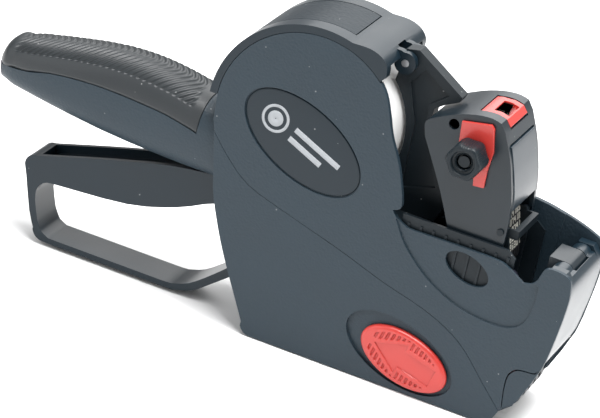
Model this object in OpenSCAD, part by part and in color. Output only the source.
/* [Body] */
// Overall width of the housing across its two side shells
body_w = 42; // [36:0.5:50]
// Thickness of the moulded walls
wall = 2.2; // [1.6:0.1:3]
// Radius of the round label-roll housing
roll_housing_r = 36; // [34:0.5:40]
// Height of the roll housing's centre above the base
roll_z = 89.5; // [86:0.5:94]
// Radial thickness of the top cover's glossy band
cover_band = 3.2; // [2.4:0.1:4]
// Width of the textured inlay on the top cover
inlay_w = 27; // [20:0.5:32]

/* [Grip] */
// Width of the fixed handle
handle_w = 30; // [24:0.5:36]
// Width of the trigger lever
lever_w = 17; // [13:0.5:20]

/* [Print head] */
// Width of the print head across its side walls
head_w = 32; // [28:0.5:34]
// Number of digit bands side by side
band_count = 8; // [5:1:9]
// Diameter of the selector knob
knob_d = 14.4; // [12:0.2:16]
// Length of the selector knob
knob_len = 10.5; // [8:0.5:13]

/* [Labels] */
// Width of the label tape
label_w = 26; // [20:0.5:28]
// Space between a full label roll and the housing around it
roll_room = 1.8; // [1.3:0.1:14]
// Radius of the roll's cardboard core
core_r = 12.7; // [10:0.1:16]

/* [Release buttons] */
// Length of each red release button
button_l = 37; // [30:0.5:40]
// Height of each red release button
button_h = 20.6; // [16:0.2:23]
// Rearward travel of each release button
button_travel = 4.2; // [2:0.1:5]

/* [Fits] */
// Radial clearance of a shaft that turns in its bore
run_gap = 0.05; // [0.02:0.01:0.1]
// Gap between parts that move past each other
slide_gap = 0.4; // [0.3:0.05:0.8]
// Gap at the seams between fixed mouldings
seam_gap = 0.15; // [0.1:0.05:0.4]

/* [Hidden] */

// colours
charcoal = "#3a4248";
gloss_charcoal = "#2c343a";
black_rubber = "#1f2326";
signal_red = "#e8463f";
steel = "silver";
paper = "#f4f4f2";
ink = "#15161a";

half_w = body_w / 2;
inner_half = half_w - wall;
eps = 0.01;
label_roll_r = roll_housing_r - wall - roll_room;

// main centres, side view, [x, z]
roll_c = [-43.5, roll_z];
lever_c = [-55, 48];
cover_c = [-15.5, 120.5];
head_pin_c = [34.3, 64.3];
knob_c = [20.4, 99.5];
ink_pivot_c = [37.5, 73.5];
front_hinge_c = [62.3, 63.2];
door_c = [-40, 5];
applicator_c = [54.6, 12.4];
feed_c = [38, 20];
button_c = [14.4, 13.6];
recess_c = [12.1, 15.1];
button_tilt = -15;

// A smooth curve through the points ps, n steps between each pair (Catmull-Rom)
function crom(a, b, c, d, t) = 0.5 * ((2 * b) + (c - a) * t
    + (2 * a - 5 * b + 4 * c - d) * t * t + (3 * b - a - 3 * c + d) * t * t * t);
function curve(ps, n = 4) = concat(
    [for (i = [0:len(ps) - 2]) for (k = [0:n - 1])
        crom(ps[max(i - 1, 0)], ps[i], ps[i + 1], ps[min(i + 2, len(ps) - 1)], k / n)],
    [ps[len(ps) - 1]]);
// Points on a circular arc from angle a0 to a1
function arc(c, r, a0, a1, n = 24) = [for (i = [0:n]) let (a = a0 + (a1 - a0) * i / n)
    c + r * [cos(a), sin(a)]];
function reverse(ps) = [for (i = [len(ps) - 1:-1:0]) ps[i]];
function unit(v) = v / norm(v);
// The outline without points that repeat
function distinct(ps) = [for (i = [0:len(ps) - 1])
    if (norm(ps[i] - ps[(i + len(ps) - 1) % len(ps)]) > 0.01) ps[i]];
// The outline (counter-clockwise) moved inward by d
function inset(outline, d) = let (ps = distinct(outline)) [for (i = [0:len(ps) - 1])
    let (a = ps[(i + len(ps) - 1) % len(ps)], b = ps[i], c = ps[(i + 1) % len(ps)],
        u = unit(b - a), v = unit(c - b), m = unit([-u[1] - v[1], u[0] + v[0]]),
        k = d / max(0.5, m * [-u[1], u[0]]))
    b + k * m];
// A point on an ellipse's outline, tilted by t degrees
function oval(c, l, h, t, n = 48) = [for (i = [0:n - 1]) let (a = 360 * i / n,
    x = l / 2 * cos(a), y = h / 2 * sin(a)) c + [x * cos(t) - y * sin(t), x * sin(t) + y * cos(t)]];

// A flat piece with side outline ps, from y0 to y1
module slab(ps, y0, y1) {
    translate([0, y1, 0]) rotate([90, 0, 0]) linear_extrude(y1 - y0) polygon(distinct(ps));
}
// A rod along Y
module rod(c, r, y0, y1, fn = 48) {
    translate([c[0], y1, c[1]]) rotate([90, 0, 0]) cylinder(r = r, h = y1 - y0, $fn = fn);
}
module mirrored() {
    children();
    mirror([0, 1, 0]) children();
}

// The seam between the side shells and the lower shell, from rear to front
seam = curve([[-77.6, 75.5], [-70, 67.3], [-60, 59.5], [-45, 54.4], [-20, 47.2], [0, 40.6],
    [17, 36], [28, 31.4], [36.4, 25.7], [45, 16.8], [54.6, 7]], 3);
// The front edge, from the seam's front end up to the nose's top corner
front_edge = curve([[54.6, 7], [60.2, 12.5], [66.4, 28.6], [69, 45], [70, 57.5], [69.6, 63.6]], 4);
// The nose's top, the notch behind it and the edge of the print-head well
nose_top = curve([[69.6, 63.6], [68.4, 66.9], [65, 68.3], [60.5, 68.4], [58.2, 67.2], [56.8, 63],
    [54.8, 60.2], [51.4, 59.2]], 3);
well_edge = curve([[51.4, 59.2], [47.9, 61.1], [44.3, 63.2], [39.5, 64.4], [24, 64.5], [7, 64.2],
    [3, 64.7], [-0.6, 66.8], [-3, 69.6]], 3);
// The concave edge in front of the label roll
mouth_edge = curve([[-3, 69.6], [0, 72], [-2.7, 82], [-5.8, 89.6], [-10, 97.7], [-14.5, 110],
    [-18.4, 115.9]], 4);
rim_a0 = 46.5;
rim_a1 = 184;
rim_arc = arc(roll_c, roll_housing_r, rim_a0, rim_a1, 36);
side_outline = concat(seam, front_edge, nose_top, well_edge, mouth_edge, rim_arc,
    [[-79, 80]]);
// The left side keeps a high wall beside the well
left_rim = curve([[69.6, 63.6], [68.8, 67.2], [66.2, 69.5], [58.9, 72.3], [50, 74.6], [40.4, 76.2],
    [20, 77.6], [4, 78.6], [-1.8, 80.6]], 3);
left_outline = concat(seam, front_edge, left_rim,
    curve([[-2.9, 82.4], [-5.8, 89.6], [-10, 97.7], [-14.5, 110], [-18.4, 115.9]], 4), rim_arc,
    [[-79, 80]]);
// The base door's side lug, let into both side shells
lug_line = curve([[67, 29.2], [64.3, 26.6], [60, 26.1], [57.1, 25.4], [54.9, 22.9], [54.3, 19.3],
    [54.6, 14], [55.2, 9]], 3);
// The lower shell's outline, below the seam
rear_edge = curve([[-77.6, 75], [-74.8, 60], [-72, 48.5], [-66, 33.5], [-59.5, 20.5],
    [-51.2, 4.9]], 4);
lower_edge = concat(rear_edge, arc([-46.9, 4.6], 4.6, 200, 265, 6),
    [[-44, 0], [44, 0], [47, 0.3], [49.6, 1.1], [52.9, 2.9]]);
lower_outline = concat(lower_edge, reverse([for (p = seam) p - [0, seam_gap]]));
// Its hollow keeps the wall at the rear and below, and is open above the seam
lower_hollow = inset(concat(lower_edge, [[60, 30], [60, 90], [-77.6, 90]]), wall);

// One side shell, outer face at y = -half_w
nose_skin = 1.8;
module side_shell(outline) {
    difference() {
        slab(outline, -half_w, -seam_gap / 2);
        slab(inset(outline, wall), -inner_half, eps);
        // open along the seam, the well and the roll's mouth
        slab([[-74, 72], [-60, 68], [-20, 60], [17, 46], [40, 34], [54, 8], [40, -5], [-95, -5]],
            -inner_half, eps);
        slab([[-16, 45], [50, 30], [55.6, 58], [57, 85], [20, 85], [-8, 125], [-26, 112]],
            -inner_half, eps);
        // only a thin skin stands beside the front cover and the base door
        slab([[44, -5], [80, -5], [80, 80], [52, 80], [50, 30]], -half_w + nose_skin, eps);
        slab(concat(lug_line, [[56, 0], [80, 0], [80, 29]]), -half_w - 1, eps);
        // the roll is loaded through the top, under the cover
        translate([roll_c[0] - 34, -14.6, roll_c[1] + 12]) cube([58, 20, 40]);
        side_hole();
        badge_seat();
        scoop();
    }
}
// The oval window in the side of the well
module side_hole() {
    slab(oval([29.6, 56.8], 18.5, 10.5, -18), -half_w - 1, -inner_half + 1);
}
badge_c = [-42.9, 83.0];
badge_l = 53.8;
badge_h = 29.8;
badge_depth = 0.9;
module badge_seat() {
    slab(oval(badge_c, badge_l, badge_h, -24.5), -half_w - 1, -half_w + badge_depth);
}
// The shallow dished hollow around the side window
module scoop() {
    slab(concat(curve([[-1, 66.6], [5, 57.4], [17, 47.2], [31.4, 41], [45.7, 39.6], [54, 42.5],
        [57.4, 50], [57.8, 60]], 4), [[52, 62], [40, 70], [0, 70]]), -half_w - 1, -half_w + 0.8);
}

module right_shell() {
    color(charcoal) side_shell(side_outline);
}
module left_shell() {
    color(charcoal) mirror([0, 1, 0]) side_shell(left_outline);
}

// The lever's slot in the rear wall
module lever_slot() {
    translate([-90, -lever_w / 2 - slide_gap, 7]) cube([60, lever_w + 2 * slide_gap, 55]);
}
module lower_shell() {
    color(charcoal) difference() {
        slab(lower_outline, -half_w, half_w);
        slab(lower_hollow, -inner_half, inner_half);
        // open at the base for the door
        translate([door_c[0] - door_c[1] - slide_gap, -inner_half, -1])
            cube([110, 2 * inner_half, wall + 2]);
        translate([46, -inner_half, -1]) cube([20, 2 * inner_half, 16]);
        lever_slot();
        mirrored() button_recess();
    }
}
recess_l = 46.4;
recess_h = 24.6;
recess_depth = 1.4;
module button_recess() {
    slab(oval(recess_c, recess_l, recess_h, button_tilt - 2), -half_w - 1, -half_w + recess_depth);
    // the slot that the button's stem slides in
    translate([button_c[0], -half_w - 1, button_c[1]]) rotate([0, -button_tilt, 0])
        translate([-8 - button_travel, 0, -4 - slide_gap])
            cube([16 + button_travel + slide_gap, 4 + wall, 8 + 2 * slide_gap]);
}

// Ribbed side plates inside the well and the cross wall that ties them together
frame_y0 = inner_half - 1.9;
module inner_frame() {
    plate = [[0, 46], [46, 40], [46, 66], [42.5, 68.6], [0.5, 68.6]];
    color(ink) {
        mirrored() {
            slab(plate, frame_y0, inner_half - 0.6);
            for (x = [3:5:43]) translate([x, inner_half - 0.6, 48]) cube([1, 0.55, 18]);
        }
        translate([-36, -frame_y0, 18]) cube([3, 2 * frame_y0, 6]);
    }
}
// The fixed column in front of the label roll, which carries the cover's hinge
column_w = 6.4;
module front_column() {
    roll_side = arc(roll_c, label_roll_r + 1.4, -28, 42, 14);
    color(ink) difference() {
        union() {
            slab(concat([[-12, 62], [8, 62], [12, 72], [4.5, 84], [-1.6, 101.6], [-1.5, 106],
                [2.4, 108.9], [7.4, 111.6], [8, 113.6], [-12, 126], [-17, 125]], reverse(roll_side)),
                -column_w / 2, column_w / 2);
            rod(cover_c, 4.2, -column_w / 2, column_w / 2);
            translate([-12, -inner_half + 2.2, 60.5]) cube([19, 2 * inner_half - 4.4, 2.2]);
        }
        rod(cover_c, 1.5 + run_gap, -column_w, column_w);
        mirrored() slab([[-7, 72], [6, 76], [-3.4, 99], [-3.6, 107], [3, 112.6], [-8, 119.6], [-12.6, 113],
            [-7.4, 98]], column_w / 2 - 1, column_w);
    }
}
module cover_pin() {
    color(steel) rod(cover_c, 1.5, -6.4, 6.4);
}

// Handle sections: [x, z of the bottom, z of the top, width]
handle_at = [[-173.8, 62.6, 71.4, 12], [-172, 60.2, 75.4, 18.5], [-166, 58.6, 78.2, 24],
    [-156, 57.2, 80.8, 27.5], [-146, 55.7, 83, 29.2], [-136, 54.3, 85, 30], [-126, 53, 86.4, 30],
    [-114, 52, 86.8, 30], [-102, 51.5, 85.6, 30.5], [-92, 51.5, 83.6, 32], [-82, 51.8, 82, 34],
    [-74, 51.8, 81.5, 36]];
handle_sides = 28;
function section(s) = let (w = s[3] * handle_w / 30) [for (i = [0:handle_sides - 1])
    let (a = 360 * i / handle_sides, c = cos(a), q = sin(a), e = 0.75)
    [s[0], w / 2 * sign(c) * pow(abs(c), e),
        (s[1] + s[2]) / 2 + (s[2] - s[1]) / 2 * sign(q) * pow(abs(q), e)]];
module loft(rings) {
    n = len(rings[0]);
    m = len(rings);
    polyhedron([for (r = rings) each r], concat([[for (i = [0:n - 1]) i]],
        [for (j = [0:m - 2]) for (i = [0:n - 1]) let (k = (i + 1) % n)
            each [[j * n + i, (j + 1) * n + k, j * n + k], [j * n + i, (j + 1) * n + i, (j + 1) * n + k]]],
        [[for (i = [0:n - 1]) m * n - 1 - i]]), convexity = 4);
}
module handle_form() {
    loft([for (s = handle_at) section(s)]);
}
grip_line = curve([[-175, 67], [-160, 69.2], [-150, 72], [-140, 73.4], [-130, 74], [-120, 73.8],
    [-110, 73.2], [-100, 72.4], [-90, 70.8], [-86, 70]], 3);
module grip_zone(grow = 0) {
    slab(concat([for (p = grip_line) p - [0, grow]], [[-86 + grow, 100], [-175, 100]]), -30, 30);
}
module behind_shells() {
    slab([[-180, 30], [-66, 30], [-72.3, 48.2], [-75.1, 59.8], [-78.1, 75], [-79.6, 81],
        [-80, 86], [-80, 100], [-180, 100]], -30, 30);
}
lever_room = lever_w / 2 + slide_gap;
module handle_core() {
    color(charcoal) difference() {
        intersection() {
            handle_form();
            behind_shells();
        }
        grip_zone(0.1);
        slab([[-151, 40], [-151, 58.5], [-120, 62], [-95, 63.5], [-60, 64], [-60, 40]],
            -lever_room, lever_room);
    }
}
module handle_grip() {
    color(black_rubber) intersection() {
        handle_form();
        grip_zone();
    }
}
module badges() {
    color(gloss_charcoal) mirrored()
        slab(oval(badge_c, badge_l - 0.8, badge_h - 0.8, -24.5), -half_w + 0.1, -half_w + badge_depth);
}
module nose_bridge() {
    color(charcoal) difference() {
        union() {
            slab([[55.8, 56.4], [57.9, 56.4], [58.2, 59.8], [62.3, 59], [62.3, 67.4], [55.8, 67.4]],
                -7.5, 7.5);
            translate([55.8, -inner_half + 3.2, 56.4]) cube([2.1, 2 * inner_half - 6.4, 3.4]);
            rod(front_hinge_c, 4.2, -7.5, 7.5);
        }
        rod(front_hinge_c, 1.5 + run_gap, -20, 20);
    }
}
module front_hinge_pin() {
    color(steel) rod(front_hinge_c, 1.5, -14.6, 14.6);
}
screw_at = [[-71, 66], [-22, 60.6], [46, 14], [-30, 30], [-46, 12]];
module shell_screws() {
    color(steel) for (p = screw_at) rod(p, 1.7, -inner_half + 0.1, inner_half - 0.1, 24);
}
module lever_pin() {
    color(steel) rod(lever_c, 3, -inner_half, inner_half);
}
module roll_hub() {
    color(ink) mirrored() difference() {
        rod(roll_c, core_r - 1.6, label_w / 2 - 7, inner_half);
        rod(roll_c, core_r - 3.6, label_w / 2 - 8, inner_half - 2);
    }
}
module roll_core() {
    color("tan") difference() {
        rod(roll_c, core_r, -label_w / 2, label_w / 2, 64);
        rod(roll_c, core_r - 1.6 + run_gap, -label_w, label_w, 64);
    }
}
module label_roll() {
    color(paper) difference() {
        rod(roll_c, label_roll_r, -label_w / 2, label_w / 2, 96);
        rod(roll_c, core_r, -label_w, label_w, 64);
    }
}
platen_z = 28;
module platen() {
    color(ink) {
        translate([24, -label_w / 2 - 1, platen_z]) cube([22, label_w + 2, 2.4]);
        mirrored() translate([31, label_w / 2 + 1, platen_z])
            cube([6, inner_half - label_w / 2 - 1, 2.4]);
    }
}

// Top cover
cover_in = roll_housing_r + slide_gap / 2;
cover_out = roll_housing_r + cover_band;
module top_cover() {
    outer = concat(arc(roll_c, cover_out, 179, 74, 34),
        curve([[-31.5, 127.2], [-25.4, 127.2], [-20.6, 125.6], [-17.6, 122.4], [-17.2, 118.2]], 3),
        arc(roll_c, cover_in, 47.5, 179, 36));
    color(gloss_charcoal) difference() {
        union() {
            difference() {
                slab(outer, -half_w, half_w);
                // hollow behind the lip, open to the front
                slab([[-24.5, 112], [-24.5, 122.8], [-19, 122.8], [-10, 119], [-10, 112]],
                    -half_w + 4, half_w - 4);
                slab(concat(arc(roll_c, cover_out - 0.9, 176, 76, 30),
                    arc(roll_c, cover_out + 2, 76, 176, 30)), -inlay_w / 2, inlay_w / 2);
            }
            mirrored() rod(cover_c, 4.2, column_w / 2 + slide_gap, column_w / 2 + slide_gap + 3);
            mirrored() slab([[-19.7, 120], [-13, 123.4], [-18, 125], [-24, 125]],
                column_w / 2 + slide_gap, column_w / 2 + slide_gap + 3);
        }
        rod(cover_c, 1.5 + run_gap, -20, 20);
        translate([-23, -column_w / 2 - slide_gap, 110])
            cube([20, column_w + 2 * slide_gap, 15.6]);
    }
}
module cover_inlay() {
    color(charcoal) slab(concat(arc(roll_c, cover_out - 0.8, 175.5, 76.5, 30),
        arc(roll_c, cover_out, 76.5, 175.5, 30)), -inlay_w / 2 + 0.4, inlay_w / 2 - 0.4);
}

// Front cover, hinged at the top of the nose
cover_half = half_w - nose_skin - slide_gap;
module front_cover() {
    color(gloss_charcoal) difference() {
        union() {
            slab(concat(curve([[62.4, 29.4], [66.2, 29.6], [68.8, 45], [69.8, 57], [69.4, 62.4],
                [67.2, 65.6]], 4), [[65, 65.6], [66.4, 60], [66.9, 56], [66, 45], [63.6, 32], [62, 31]]),
                -cover_half, cover_half);
            mirrored() rod(front_hinge_c, 4.2, 7.5 + slide_gap, 14.4);
            mirrored() translate([62.3, 7.5 + slide_gap, 60.4]) cube([5, 6.5, 5.2]);
            // the plain top ledge between the knuckles and the sides
            mirrored() slab([[59.6, 61.4], [66, 60], [68.6, 64], [66, 67.6], [60, 67.6]],
                14.4 - eps, cover_half);
        }
        rod(front_hinge_c, 1.5 + run_gap, -14.8, 14.8);
        translate([56, -7.5 - slide_gap, 57]) cube([11, 15 + 2 * slide_gap, 14]);
    }
}

// Base door with the exit lip, hinged at the rear
module base_door() {
    side = inner_half - slide_gap;
    // one outline: the hinge barrel, the flat base and the exit lip
    plate = concat(arc(door_c, door_c[1], 90, 270, 12),
        [[44, 0], [49.5, 1.1], [52.2, 3.2], [51, 4.8], [47, 3.2], [43, 2.4], [-34, 2.4], [-35.6, 7]]);
    lug = concat([[66.2, 28.2]], [for (p = lug_line) if (p[0] < 64.5) p + [slide_gap, -slide_gap]],
        [[58.3, 10.5], [60.1, 12.6], [63.4, 20.4]]);
    color(charcoal) difference() {
        union() {
            slab(plate, -side, side);
            mirrored() slab([[45, 1.2], [50, 2], [58.6, 9.6], [62.6, 22], [57, 22], [49, 9]],
                side - 2.4, side - 0.02);
            // side lugs, flush with the shells
            mirrored() slab(lug, side - 0.5, half_w - 0.1);
        }
        rod(door_c, 1.5 + run_gap, -side - 1, side + 1);
        rod(applicator_c, 1.5, -side - 1, side + 1);
    }
}
module door_pin() {
    color(steel) rod(door_c, 1.5, -inner_half, inner_half);
}
module applicator_shaft() {
    color(steel) rod(applicator_c, 1.5, -inner_half + slide_gap, inner_half - slide_gap);
}
module applicator_roller() {
    color(black_rubber) difference() {
        union() {
            for (y = [-12:6:12]) rod(applicator_c, 5.2, y - 1.6, y + 1.6);
            rod(applicator_c, 2.6, -14, 14);
        }
        rod(applicator_c, 1.5 + run_gap, -30, 30);
    }
}

// Trigger lever: a closed loop with a channel along its top
module trigger_lever() {
    outer = concat(curve([[-60, 53], [-76, 53], [-96, 50.4], [-120, 44.2], [-150.5, 35.2]], 3),
        arc([-150.8, 31], 4.2, 95, 190, 8),
        curve([[-153.5, 26], [-149.5, 12.3], [-146.6, 5.8]], 2), arc([-141.6, 6.4], 5.2, 195, 262, 6),
        [[-135, 1.1], [-90, 1.1]],
        curve([[-85, 1.2], [-77, 3.8], [-70, 9.2], [-60, 17.5]], 3), [[-50, 27], [-49, 44]]);
    inner = concat(curve([[-68, 40.5], [-75.4, 41.7], [-90, 34.8], [-110, 28.9], [-140, 26.2]], 3),
        arc([-142.6, 20.4], 5.6, 95, 185, 8),
        curve([[-147.8, 17], [-145.4, 9.4], [-142.6, 5]], 2),
        [[-139.4, 3.4], [-90, 3.4]],
        curve([[-86, 3.6], [-79, 6.2], [-70, 13.4], [-62, 21]], 3), [[-59, 30], [-62, 37]]);
    color(gloss_charcoal) difference() {
        union() {
            slab(reverse(outer), -lever_w / 2, lever_w / 2);
            rod(lever_c, 7, -lever_w / 2, lever_w / 2);
        }
        slab(reverse(inner), -lever_w, lever_w);
        slab([[-149, 32], [-120, 40.6], [-96, 47.4], [-80, 50], [-80, 60], [-152, 60]],
            -lever_w / 2 + wall, lever_w / 2 - wall);
        rod(lever_c, 3 + run_gap, -lever_w, lever_w);
    }
}
// Yoke: two arms from the lever's hub to the print head
yoke_y1 = head_w / 2 - 2.5;
yoke_t = 1.6;
module yoke() {
    arm = concat(arc(lever_c, 7, 80, 262, 14), [[-20, 42.5], [16, 50.5], [28, 58]],
        arc(head_pin_c, 4.4, -60, 90, 10), [[22, 66.2], [8, 59.2], [-14, 55.4], [-30, 54]]);
    color(ink) difference() {
        union() {
            mirrored() slab(reverse(arm), yoke_y1 - yoke_t, yoke_y1);
            mirrored() rod(lever_c, 6, lever_w / 2, yoke_y1 - yoke_t + 0.1);
            translate([14, -yoke_y1, 54]) cube([4, 2 * yoke_y1, 4]);
        }
        rod(lever_c, 3 + run_gap, -30, 30);
        rod(head_pin_c, 2.2, -30, 30);
    }
}
module head_pin() {
    color(steel) mirrored() rod(head_pin_c, 2.2, yoke_y1 - yoke_t, head_w / 2 + 0.8);
}
module star_lock_rings() {
    color("gray") mirrored() difference() {
        rod(head_pin_c, 3.3, head_w / 2, head_w / 2 + 0.6, 32);
        rod(head_pin_c, 2.2, 10, 20, 32);
    }
}

// Print head
head_top = concat(arc([3, 104.2], 3.2, 190, 128, 5),
    curve([[5, 109.1], [10, 111.6], [15, 113.5], [20, 114.7], [24.6, 115], [28, 114.2]], 2));
head_front_edge = curve([[30.4, 111], [34.3, 102], [36.6, 94.7], [38.6, 86.7], [39.6, 78],
    [39.8, 70.6]], 3);
head_rear_edge = curve([[39, 58], [22, 58], [17, 69.3], [11.7, 80.7], [5, 92.7], [1, 99.6]], 2);
head_outline = concat(head_top, head_front_edge, head_rear_edge);
head_wall = 1.6;
module head_housing() {
    hw = head_w / 2;
    color(charcoal) difference() {
        slab(head_outline, -hw, hw);
        slab(inset(reverse(head_outline), head_wall), -hw + head_wall, hw - head_wall);
        // open at the bottom, at the front for the bands and at the top for the window
        slab([[0, 40], [60, 40], [60, 69], [41, 76], [33, 70], [14, 68]], -hw + head_wall,
            hw - head_wall);
        slab([[36, 60], [50, 60], [50, 106.3], [30.6, 106.3]], -hw + 2.4, hw - 2.4);
        // the recessed top window and the opening in it
        slab([[17.4, 112.9], [20, 113.5], [24.6, 113.8], [27.6, 113], [29.4, 110.4], [36, 112], [30, 120],
            [17.4, 120]], -window_half - 0.3, window_half + 0.3);
        slab([[20.6, 106], [29.2, 106], [29.2, 120], [20.6, 120]], -7, 7);
        rod([10.7, 108], 2.05, -hw - 1, hw + 1);
        rod(head_pin_c, 2.2, -hw - 1, hw + 1);
        rod(knob_c, 2.6, -hw - 1, hw + 1);
        rod(ink_pivot_c, 1.3 + run_gap, -hw - 1, hw + 1);
    }
}
window_half = head_w / 2 - 6.4;
// Red frame in the top window
module window_frame() {
    color(signal_red) difference() {
        slab([[17.6, 113.1], [20, 113.65], [24.6, 113.95], [27.7, 113.2], [29.3, 110.9], [30.2, 111.6],
            [28.2, 114], [24.7, 114.8], [20, 114.5], [17.6, 113.9]], -window_half, window_half);
        slab([[21.6, 106], [27.6, 106], [27.6, 120], [21.6, 120]], -6, 6);
    }
}
module head_front() {
    hw = head_w / 2 - 2.5;
    outer = curve([[33.4, 105.8], [34.9, 101.4], [37, 94.7], [38.9, 87], [39.4, 81.6]], 3);
    color(gloss_charcoal) slab(concat(outer, reverse([for (p = outer) p - [1.4, 0.3]])), -hw, hw);
}
band_pitch = (head_w - 12) / band_count;
band_top = knob_c;
band_low = [33.6, 57.5];
module band_outline(r) {
    ax = atan2(band_top[1] - band_low[1], band_top[0] - band_low[0]);
    polygon(concat(arc(band_top, r, ax - 90, ax + 90, 14),
        arc(band_low, r - 3.2, ax + 90, ax + 270, 12)));
}
band_r = 9.6;
module digit_bands() {
    color(ink) for (i = [0:band_count - 1]) {
        y = (i - (band_count - 1) / 2) * band_pitch;
        translate([0, y + band_pitch / 2 - 0.15, 0]) rotate([90, 0, 0])
            linear_extrude(band_pitch - 0.3) difference() {
                band_outline(band_r);
                band_outline(band_r - 1);
            }
    }
}
module band_wheels() {
    color("dimgray") for (i = [0:band_count - 1]) {
        y = (i - (band_count - 1) / 2) * band_pitch;
        difference() {
            rod(band_top, band_r - 1.1, y - band_pitch / 2 + 0.2, y + band_pitch / 2 - 0.2, 32);
            rod(band_top, 2.8, -20, 20, 32);
        }
        difference() {
            rod(band_low, band_r - 4.4, y - band_pitch / 2 + 0.2, y + band_pitch / 2 - 0.2, 32);
            rod(band_low, 1.5, -20, 20, 32);
        }
    }
}
module band_axle() {
    color(steel) rod(band_low, 1.5, -head_w / 2 + head_wall, head_w / 2 - head_wall);
}
plate_y = head_w / 2 + 0.25;
module pointer_plate() {
    color(signal_red) difference() {
        slab([[13.7, 110.7], [14.3, 103], [17, 96.6], [22.4, 95], [23.4, 88], [27.6, 88.4], [27.4, 95],
            [28, 103], [26.3, 111.6], [25, 113]], -plate_y - 1.2, -plate_y);
        rod(knob_c, 3.2, -30, 30);
    }
}
knob_y1 = plate_y + 1.2 + slide_gap;
module selector_knob() {
    face = -knob_y1 - knob_len;
    color(gloss_charcoal) difference() {
        union() {
            hull() for (i = [0:5]) rod(knob_c + (knob_d / 2 - 3) * [cos(60 * i), sin(60 * i)], 3,
                face + 0.8, -knob_y1, 32);
            rod(knob_c, knob_d / 2 - 1, face, -knob_y1);
        }
        rod(knob_c, 4.8, face - 1, face + 1.2);
        rod(knob_c, 3.2, face - 1, face + 4);
        rod(knob_c, 2.2, face - 1, -knob_y1 + 1);
    }
}
module selector_shaft() {
    color(steel) rod(knob_c, 2.2, -knob_y1 - knob_len + 2, head_w / 2 - head_wall - 0.4);
}

// Ink roller and its swinging cradle
ink_c = [38.5, 45.6];
// Half the width of the ink cradle, inside the head
ink_half = head_w / 2 - 4.5;
module ink_cradle() {
    y1 = ink_half;
    arm = concat(arc(ink_pivot_c, 2.2, 60, 200, 8), [[36.6, 62], [36, 50]],
        arc(ink_c, 2.6, 170, 350, 8), [[41, 66]]);
    color(ink) difference() {
        union() {
            mirrored() slab(arm, y1 - 1.1, y1);
            translate([41.2, -y1, 70.6]) cube([2.2, 2 * y1, 3.5]);
            mirrored() translate([37, y1 - 1.1, 70.6]) cube([6.4, 1.1, 3.5]);
            mirrored() rod(ink_pivot_c, 1.3, y1 - 0.5, head_w / 2 + 0.8);
        }
        rod(ink_c, 1.2, -20, 20);
    }
}
module ink_axle() {
    color(steel) rod(ink_c, 1.2, -ink_half, ink_half);
}
module ink_roller() {
    color("midnightblue") difference() {
        rod(ink_c, 4.2, -ink_half + 1.3, ink_half - 1.3);
        rod(ink_c, 1.2 + run_gap, -20, 20);
    }
}
module feed_shaft() {
    color(steel) rod(feed_c, 2, -inner_half, inner_half);
}
module feed_wheel() {
    color(signal_red) difference() {
        union() {
            rod(feed_c, 6.2, -9, 9);
            for (i = [0:15]) rod(feed_c + 6.1 * [cos(22.5 * i), sin(22.5 * i)], 0.7, -9, 9, 16);
        }
        rod(feed_c, 2 + run_gap, -20, 20);
        mirrored() difference() {
            rod(feed_c, 8, 3, 6);
            rod(feed_c, 5, 2, 7);
        }
    }
}

// Red release button with its guided stem and a rearward arrow
module release_button() {
    y0 = -half_w - 1.1;
    difference() {
        union() {
            slab(oval(button_c, button_l, button_h, button_tilt), y0, -half_w + recess_depth - 0.1);
            slab(oval(button_c, button_l - 2, button_h - 2, button_tilt), y0 - 0.5, y0 + 0.1);
            translate([button_c[0], -half_w + 1, button_c[1]]) rotate([0, -button_tilt, 0])
                translate([-8, 0, -4]) cube([16, wall, 8]);
        }
        // the arrow, then finger ribs either side of it
        translate([button_c[0], y0 - 1, button_c[1]]) rotate([0, -button_tilt, 0]) {
            rotate([-90, 0, 0]) linear_extrude(1)
                polygon([[-12, 0], [-1, -6.4], [-1, -3.4], [12, -3.4], [12, 3.4], [-1, 3.4], [-1, 6.4]]);
            for (x = [-11:2:-1], s = [-1, 1])
                translate([x, 0, s > 0 ? 6.4 - 0.1 * x : -8.8]) translate([0, 0, s * 0.2])
                    cube([1, 1, 2.4]);
        }
    }
}
module right_button() {
    color(signal_red) release_button();
}
module left_button() {
    color(signal_red) mirror([0, 1, 0]) release_button();
}

right_shell();
left_shell();
lower_shell();
inner_frame();
front_column();
handle_core();
handle_grip();
badges();
nose_bridge();
shell_screws();
lever_pin();
cover_pin();
roll_hub();
platen();
top_cover();
cover_inlay();
front_cover();
front_hinge_pin();
base_door();
door_pin();
applicator_roller();
applicator_shaft();
trigger_lever();
yoke();
head_pin();
star_lock_rings();
head_housing();
window_frame();
head_front();
digit_bands();
band_wheels();
band_axle();
pointer_plate();
selector_knob();
selector_shaft();
ink_cradle();
ink_roller();
ink_axle();
label_roll();
roll_core();
feed_wheel();
feed_shaft();
right_button();
left_button();
